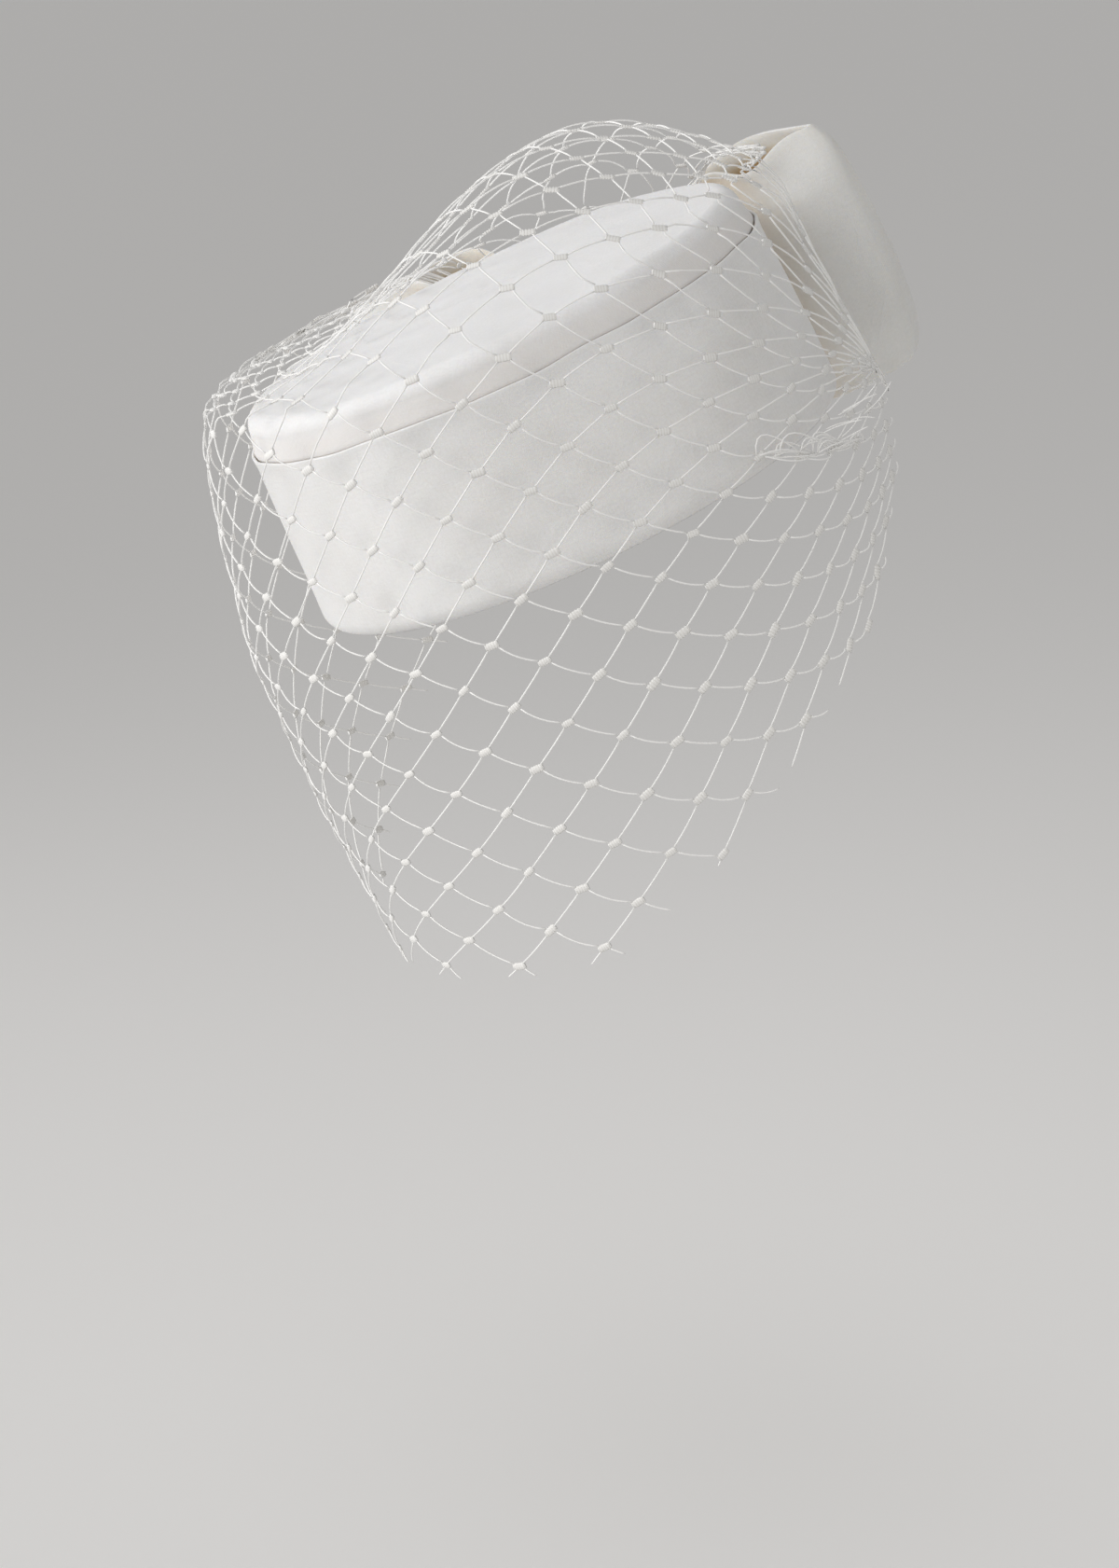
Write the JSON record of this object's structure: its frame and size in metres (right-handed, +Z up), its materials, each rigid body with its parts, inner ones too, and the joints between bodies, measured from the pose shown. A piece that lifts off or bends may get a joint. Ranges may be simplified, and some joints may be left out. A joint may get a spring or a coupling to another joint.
{
  "type": "pillbox hat",
  "caption": "White satin pillbox hat worn tilted, with a rounded flat top, a straight side band, a wide flat bow at the back and a coarse diamond net veil falling over the face.",
  "frame": {"origin": "middle of the rim plane, where the hat sits on the head", "axes": "+Z up, -Y towards the wearer's front, +X towards the wearer's left; the hat leans 25 degrees to the wearer's right as worn"},
  "size_m": [0.2225, 0.2149, 0.2575],
  "materials": {
    "satin_tip": "satin",
    "satin_band": "satin",
    "satin_bow": "satin",
    "net_thread": "matte"
  },
  "bodies": {
    "root": {"crown_tip": "satin_tip", "side_band": "satin_band", "bow_loop_left": "satin_bow", "bow_loop_right": "satin_bow", "bow_wrap": "satin_bow", "veil": "net_thread"}
  },
  "joints": []
}
